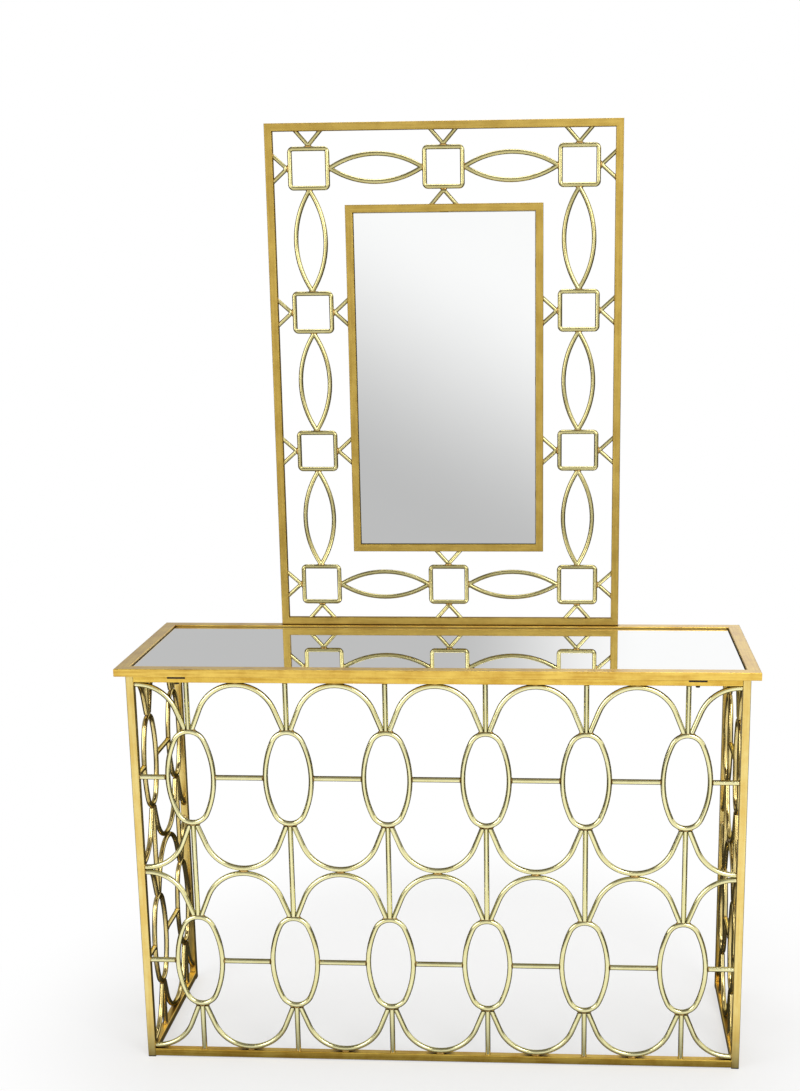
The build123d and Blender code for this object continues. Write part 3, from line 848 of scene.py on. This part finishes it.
@dataclass
class LatticePanel:
    """One panel of bent rod between two legs."""

    name: str
    ovals: tuple[str, ...]
    arches: tuple[str, ...]
    swags: tuple[str, ...]
    cross_rods: tuple[str, ...]
    uprights: tuple[str, ...]
    legs: tuple[str, str]
    apron: str
    base_rail: str
    columns: int
    along: Axis
    finish: GoldLeaf = LATTICE_GOLD
    rows: int = 2
    oval_width: float = 98.0 * MILLIMETRE
    oval_height: float = 192.0 * MILLIMETRE
    tip_radius: float = 36.0 * MILLIMETRE
    tip_scale: float = 0.8
    foot_reach: float = 9.6 * MILLIMETRE
    foot_scale: float = 0.55

    def nodes(self) -> tuple[str, ...]:
        """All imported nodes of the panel."""
        return self.ovals + self.arches + self.swags + self.cross_rods + self.uprights

    def _point(self, run: float, height: float) -> Vector:
        """Point of the panel's middle plane.

        Args:
            run: place along the panel.
            height: place above the floor.

        Returns:
            The point.
        """
        low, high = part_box(self.ovals[0])
        point = (low + high) / 2
        point[self.along.value] = run
        point.z = height
        return point

    def _axes(self) -> list[float]:
        """Middles of the columns.

        Returns:
            Their places along the panel.
        """
        low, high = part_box(self.ovals[0])
        first = low[self.along.value] + self.oval_width / 2
        last = high[self.along.value] - self.oval_width / 2
        return [first + (last - first) * index / (self.columns - 1) for index in range(self.columns)]

    def _middles(self) -> list[float]:
        """Middles of the rows.

        Returns:
            Their heights.
        """
        boxes = [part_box(node) for node in self.ovals]
        low = min(box[0].z for box in boxes) + self.oval_height / 2
        high = max(box[1].z for box in boxes) - self.oval_height / 2
        return [low + (high - low) * index / (self.rows - 1) for index in range(self.rows)]

    def _tip_welds(self, shop: WeldShop, tip: Vector, out: Vector, run: Vector) -> list[WeldPlace]:
        """Beads at an oval's tip: one under the upright and one under the foot of each arch.

        Args:
            shop: maker of the beads.
            tip: the tip's outermost point.
            out: way out of the oval, of length 1.
            run: way along the panel, of length 1.

        Returns:
            The places.
        """
        lean = math.asin(self.foot_reach / self.tip_radius)
        centre = tip - out * self.tip_radius
        places = [shop.nugget(tip, out, run, self.tip_scale)]
        for side in (-1, 1):
            normal = out * math.cos(lean) + run * (side * math.sin(lean))
            along = run * math.cos(lean) - out * (side * math.sin(lean))
            places.append(shop.nugget(centre + normal * self.tip_radius, normal, along, self.foot_scale))
        return places

    def welds(self, shop: WeldShop) -> list[WeldPlace]:
        """Places of all the beads of the panel.

        Args:
            shop: maker of the beads.

        Returns:
            The places.
        """
        run, up = self.along.way(), Axis.Z.way()
        axes = self._axes()
        pitch = axes[1] - axes[0]
        places = []
        for axis in axes:
            for middle in self._middles():
                for sense in (-1, 1):
                    tip = self._point(axis, middle + sense * self.oval_height / 2)
                    places += self._tip_welds(shop, tip, up * sense, run)
                    side = self._point(axis + sense * self.oval_width / 2, middle)
                    places.append(shop.skirt(side, run * sense, up))
        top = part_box(self.apron)[0].z
        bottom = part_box(self.base_rail)[1].z
        row_height = (top - bottom) / self.rows
        for first in axes[:-1]:
            for index in range(self.rows + 1):
                crown = self._point(first + pitch / 2, bottom + index * row_height)
                places.append(shop.nugget(crown, up, run))
        for level, sense in ((top, -1), (bottom, 1)):
            for node in self.uprights:
                places += shop.fillets(node, Axis.Z, level, up * sense, run)
        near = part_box(self.legs[0])[1][self.along.value]
        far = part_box(self.legs[1])[0][self.along.value]
        for level, sense in ((near, 1), (far, -1)):
            for node in self.cross_rods + self.arches + self.swags:
                places += shop.fillets(node, self.along, level, run * sense, up)
        return places

    def build(self, shop: WeldShop) -> None:
        """Dresses the rods and lays the beads.

        Args:
            shop: maker of the beads.
        """
        dress(self.nodes(), self.finish.material(Grain.NONE))
        shop.lay(f"{self.name}_weld_beads", self.welds(shop), "table")


@dataclass
class TableFrame:
    """Rim, legs, rails and fixings of the table."""

    sides: tuple[str, ...] = ("front", "rear", "left", "right")
    base_sides: tuple[str, ...] = ("front", "left", "right")
    corners: tuple[str, ...] = ("front_left", "front_right", "rear_left", "rear_right")
    ledges: tuple[str, ...] = ("long_pane_ledges", "short_pane_ledges", "pane_stays")
    fixings: tuple[str, ...] = ("top_fixing_plates", "top_fixing_screws", "locating_pins")

    def bars(self) -> dict[str, GoldLeaf]:
        """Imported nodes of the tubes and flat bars.

        Returns:
            The finish of each.
        """
        finishes = {f"top_rail_{side}": RIM_GOLD for side in self.sides}
        finishes |= {f"apron_{side}": TABLE_GOLD for side in self.sides}
        finishes |= {f"leg_{corner}": LEG_GOLD for corner in self.corners}
        finishes |= {f"base_rail_{side}": TABLE_GOLD for side in self.base_sides}
        return finishes | {ledge: TABLE_GOLD for ledge in self.ledges}

    def build(self) -> None:
        """Dresses every piece."""
        for bar, finish in self.bars().items():
            dress([bar], finish.material(grain_of(bar)))
        # The fixings' near-black steel is their own colour; on the top fixing plates it also paints the shade of the
        # slits between the rim and the apron at both ends.
        dress(self.fixings, DarkSteel().material())
        dress(["glides"], MouldedPlastic().material())


@dataclass
class MirrorTop:
    """Loose mirror pane of the table top on its board."""

    pane: str = "top_mirror_pane"
    board: str = "top_backing_board"

    def build(self, board_finish: bpy.types.Material) -> None:
        """Dresses the pane and its board.

        Args:
            board_finish: finish of the board.
        """
        dress([self.pane], SilveredGlass("top_silver", Axis.Z).material())
        dress([self.board], board_finish)


@dataclass
class StandingMirror:
    """Framed mirror with a band of rings, leaves and ties."""

    rows: int = 4
    ring_size: float = 83.0 * MILLIMETRE
    joint_scale: float = 0.8
    frames: tuple[str, ...] = ("mirror_bar", "glass_bar")
    sides: tuple[str, ...] = ("bottom", "top", "left", "right")
    ornament: tuple[str, ...] = ("square_rings", "leaf_rods", "outer_ties", "inner_ties")
    fixings: tuple[str, ...] = ("glass_tabs", "glass_tab_screws")

    def rings(self) -> list[Vector]:
        """Middles of the square rings, which have three columns.

        Returns:
            The points. The middle column has a ring at its top and bottom alone.
        """
        low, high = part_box("square_rings")
        half = self.ring_size / 2
        xs = [low.x + half, (low.x + high.x) / 2, high.x - half]
        step = (high.z - low.z - self.ring_size) / (self.rows - 1)
        zs = [low.z + half + index * step for index in range(self.rows)]
        middle = (low.y + high.y) / 2
        outer_rows = (zs[0], zs[-1])
        return [Vector((x, middle, z)) for x in xs for z in zs if x != xs[1] or z in outer_rows]

    def welds(self, shop: WeldShop) -> list[WeldPlace]:
        """Places of all the beads of the ornament.

        Args:
            shop: maker of the beads.

        Returns:
            The places.
        """
        right, up = Axis.X.way(), Axis.Z.way()
        places = []
        for ring in self.rings():
            for out, across in ((right, up), (-right, up), (up, right), (-up, right)):
                point = ring + out * self.ring_size / 2
                places.append(shop.nugget(point, out, across, self.joint_scale))
        faces = (
            ("outer_ties", Axis.X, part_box("mirror_bar_left")[1].x, right, up),
            ("outer_ties", Axis.X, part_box("mirror_bar_right")[0].x, -right, up),
            ("outer_ties", Axis.Z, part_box("mirror_bar_bottom")[1].z, up, right),
            ("outer_ties", Axis.Z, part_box("mirror_bar_top")[0].z, -up, right),
            ("inner_ties", Axis.X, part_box("glass_bar_left")[0].x, -right, up),
            ("inner_ties", Axis.X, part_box("glass_bar_right")[1].x, right, up),
            ("inner_ties", Axis.Z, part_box("glass_bar_bottom")[0].z, -up, right),
            ("inner_ties", Axis.Z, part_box("glass_bar_top")[1].z, up, right),
        )
        for node, axis, level, out, across in faces:
            places += shop.fillets(node, axis, level, out, across)
        return places

    def build(self, shop: WeldShop, board_finish: bpy.types.Material) -> None:
        """Dresses every piece and lays the beads.

        Args:
            shop: maker of the beads.
            board_finish: finish of the board behind the glass.
        """
        for bar in (f"{kind}_{side}" for kind in self.frames for side in self.sides):
            dress([bar], MIRROR_GOLD.material(grain_of(bar)))
        dress(self.ornament, ORNAMENT_GOLD.material(Grain.NONE))
        dress(["mirror_glass"], SilveredGlass("mirror_silver", Axis.Y).material())
        dress(["glass_backing_board"], board_finish)
        dress(self.fixings, DarkSteel("tab_steel").material())
        shop.lay("mirror_weld_beads", self.welds(shop), "mirror")


@dataclass
class PhotoCamera:
    """Camera at the photograph's place, fitted to its corners. Pixels are in the photograph's own frame."""

    frame_px: tuple[int, int] = (800, 1091)
    place: tuple[float, float, float] = (0.2469, -2.9920, 1.5172)
    yaw_deg: float = 3.670
    pitch_deg: float = 13.280
    roll_deg: float = -0.566
    focal_px: float = 1570.3
    principal_px: tuple[float, float] = (469.9, 641.2)
    sensor: float = 36.0
    upright_deg: float = 90.0

    def build(self) -> None:
        """Makes the camera, which looks straight down until it is turned upright, and sets it as the scene's own."""
        data = bpy.data.cameras.new("photo_camera")
        camera = bpy.data.objects.new("photo_camera", data)
        bpy.context.scene.collection.objects.link(camera)
        long_side = max(self.frame_px)
        data.sensor_width = self.sensor
        data.lens = self.sensor * self.focal_px / long_side
        data.shift_x = (self.frame_px[0] / 2 - self.principal_px[0]) / long_side
        data.shift_y = (self.principal_px[1] - self.frame_px[1] / 2) / long_side
        yaw = Matrix.Rotation(math.radians(self.yaw_deg), 4, "Z")
        tilt = Matrix.Rotation(math.radians(self.upright_deg - self.pitch_deg), 4, "X")
        roll = Matrix.Rotation(math.radians(self.roll_deg), 4, "Z")
        camera.matrix_world = Matrix.Translation(self.place) @ yaw @ tilt @ roll
        bpy.context.scene.camera = camera


@dataclass(frozen=True)
class SoftBox:
    """One broad lamp."""

    name: str
    place: tuple[float, float, float]
    target: tuple[float, float, float]
    size: tuple[float, float]
    watts: float

    def build(self) -> None:
        """Makes the lamp and turns it to its target."""
        data = bpy.data.lights.new(self.name, "AREA")
        data.shape = "RECTANGLE"
        data.size, data.size_y = self.size
        data.energy = self.watts
        lamp = bpy.data.objects.new(self.name, data)
        lamp.location = self.place
        aim = Vector(self.target) - Vector(self.place)
        lamp.rotation_euler = aim.to_track_quat("-Z", "Y").to_euler()
        bpy.context.scene.collection.objects.link(lamp)


@dataclass(frozen=True)
class Floor:
    """Round pale floor that fades to white away from the object and keeps its shadow.

    What shines sees it white in front of the table and dark under it, as a painted shadow. A span is where a smooth
    step begins and ends.
    """

    radius: float = 1.05
    sides: int = 96
    pale: Colour = (0.86, 0.86, 0.86)
    cloudy: Colour = (0.80, 0.80, 0.80)
    clouds_per_metre: float = 3.0
    cloud_layers: float = 3.0
    cloud_share: float = 0.06
    glow: float = 0.55
    glow_span: Span = (0.62, 1.03)
    shine: Span = (1.0, 0.05)
    shine_span: Span = (-0.42, -0.12)

    def build(self) -> None:
        """Makes the floor."""
        deselect_all()
        bpy.ops.mesh.primitive_circle_add(vertices=self.sides, radius=self.radius, fill_type="NGON")
        floor = bpy.context.object
        floor.name = "floor"
        made = bpy.data.materials.new("studio_floor")
        shader = Shader(made)
        place = shader.place()
        clouds = shader.noise(place, self.clouds_per_metre, self.cloud_layers)
        pale = shader.mix(clouds * self.cloud_share, self.pale, self.cloudy)
        matte = shader.node("ShaderNodeBsdfDiffuse", {}, {"Color": pale})
        glossy = shader.ray(Ray.GLOSSY)
        # Painted shadow: to glossy rays the floor's glow falls from white in front of the table to nearly black
        # under and behind it.
        shine = shader.axis(place, Axis.Y).ramp(*self.shine_span, *self.shine)
        strength = 1 - glossy + glossy * shine
        white = shader.node("ShaderNodeEmission", {}, {"Color": WHITE, "Strength": strength})
        away = shader.node("ShaderNodeVectorMath", {"operation": "LENGTH"}, {0: place}, "Value")
        glow = away.ramp(*self.glow_span, self.glow, 1.0)
        share = (glow + (1 - glow) * glossy) * shader.shown_rays()
        mixed = shader.node("ShaderNodeMixShader", {}, {0: share, 1: matte, 2: white})
        shader.node("ShaderNodeOutputMaterial", {}, {"Surface": mixed})
        floor.data.materials.append(made)


@dataclass(frozen=True)
class Surround:
    """Light from round the object: white to the camera, even to what is dull, and in soft areas to what shines.

    The areas give round rods dark edges and bars dark inner faces. Their levels are 1 for white. They go by the
    direction, of length 1, and a span is where a smooth step begins and ends. The rear has a dark strip.
    """

    ambient: float = 0.62
    dim: float = 0.53
    ceiling: float = 0.28
    front_low: float = 1.15
    side_low: float = 0.035
    rear_low: float = 0.55
    front_lean: float = 0.54
    front_span: Span = (-0.20, -0.02)
    front_low_span: Span = (-0.32, -0.20)
    front_ceiling_span: Span = (0.15, 0.55)
    pane_span: Span = (-0.08, 0.05)
    rear_span: Span = (0.45, 0.75)
    rear_low_span: Span = (-0.24, -0.17)
    rear_rise_span: Span = (0.05, 0.18)
    rear_ceiling_span: Span = (0.32, 0.8)
    strip_middle: float = 0.26
    strip_span: Span = (0.12, 0.24)
    heading_span: Span = (-0.92, -0.525)

    def _front(self, x: Signal, z: Signal) -> Signal:
        """Level in front of the table.

        Args:
            x: share of the direction to the right.
            z: share of the direction upward.

        Returns:
            The level: bright near the floor, a leaning step from dim to white above it, and a dark ceiling.
        """
        middle = (z + x * self.front_lean).ramp(*self.front_span, self.dim, 1.0)
        level = middle + (self.front_low - middle) * z.ramp(*self.front_low_span, 1.0, 0.0)
        return level + (self.ceiling - level) * z.ramp(*self.front_ceiling_span)

    def _rear(self, x: Signal, y: Signal, z: Signal) -> Signal:
        """Level at the sides and behind the table.

        Args:
            x: share of the direction to the right.
            y: share of the direction to the rear.
            z: share of the direction upward.

        Returns:
            The level: dark near the floor but for what is behind, two tones for the mirror top, and a dark ceiling.
        """
        pane = x.ramp(*self.pane_span, self.dim, 1.0)
        behind = y.ramp(*self.rear_span) * z.ramp(*self.rear_low_span, 1.0, 0.0)
        behind = behind * abs(x - self.strip_middle).ramp(*self.strip_span)
        low = self.side_low + (self.rear_low - self.side_low) * behind
        level = low + (pane - low) * z.ramp(*self.rear_rise_span)
        return level * z.ramp(*self.rear_ceiling_span, 1.0, self.ceiling)

    def _level(self, shader: Shader) -> Signal:
        """Level of the surround to what shines.

        Args:
            shader: the world's tree.

        Returns:
            The level, parted into front and rear by the compass heading of the direction.
        """
        direction = shader.place("Generated")
        x, y, z = (shader.axis(direction, axis) for axis in Axis)
        front, rear = self._front(x, z), self._rear(x, y, z)
        heading = y * (1 - z * z) ** -0.5
        return front + (rear - front) * heading.ramp(*self.heading_span)

    def build(self) -> None:
        """Makes the world."""
        world = bpy.data.worlds.new("studio")
        bpy.context.scene.world = world
        shader = Shader(world)
        camera = shader.ray(Ray.CAMERA)
        shown = shader.shown_rays()
        seen = camera + (1 - camera) * self._level(shader)
        strength = shown * seen + (1 - shown) * self.ambient
        light = shader.node("ShaderNodeBackground", {}, {"Color": WHITE, "Strength": strength})
        shader.node("ShaderNodeOutputWorld", {}, {"Surface": light})


@dataclass
class Studio:
    """Plain white studio: floor, surround and lamps."""

    floor: Floor = Floor()
    surround: Surround = Surround()
    lamps: tuple[SoftBox, ...] = (
        SoftBox("key", (1.9, -2.7, 2.7), (0.1, 0.0, 0.8), (1.6, 1.6), 48.0),
        SoftBox("fill", (-2.4, -2.2, 1.7), (0.0, 0.0, 0.7), (1.5, 1.8), 30.0),
        SoftBox("top", (0.2, 0.6, 3.6), (0.0, 0.0, 0.8), (2.2, 1.4), 40.0),
    )

    def build(self) -> None:
        """Makes the floor, the surround and the lamps."""
        bpy.context.scene.view_settings.view_transform = "Standard"
        self.floor.build()
        self.surround.build()
        for lamp in self.lamps:
            lamp.build()


def front_panel() -> LatticePanel:
    """Panel that faces the photograph's viewer.

    Returns:
        The panel.
    """
    kinds = ("ovals", "arches", "swags", "cross_rods")
    nodes = {kind: tuple(f"front_{level}_{kind}" for level in ("upper", "lower")) for kind in kinds}
    return LatticePanel("front", **nodes, uprights=("front_uprights",), legs=("leg_front_left", "leg_front_right"),
                        apron="apron_front", base_rail="base_rail_front", columns=6, along=Axis.X)


def side_panel(side: str) -> LatticePanel:
    """Panel on the left or right end.

    Args:
        side: left or right.

    Returns:
        The panel.
    """
    kinds = ("ovals", "arches", "swags", "cross_rods", "uprights")
    nodes = {kind: (f"{side}_{kind}",) for kind in kinds}
    return LatticePanel(side, **nodes, legs=(f"leg_front_{side}", f"leg_rear_{side}"), apron=f"apron_{side}",
                        base_rail=f"base_rail_{side}", columns=2, along=Axis.Y, finish=SIDE_GOLD)


def main() -> None:
    """Builds the looks in order."""
    logging.basicConfig(level=logging.INFO, format="%(name)s: %(message)s")
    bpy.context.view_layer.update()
    PhotoCamera().build()
    Studio().build()
    low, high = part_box("front_uprights")
    shop = WeldShop(rod_radius=(high.y - low.y) / 2)
    shop.prepare()
    board_finish = Hardboard().material()
    TableFrame().build()
    MirrorTop().build(board_finish)
    for panel in (front_panel(), side_panel("left"), side_panel("right")):
        panel.build(shop)
    StandingMirror().build(shop, board_finish)
    shop.put_away()


if __name__ == "__main__":
    main()
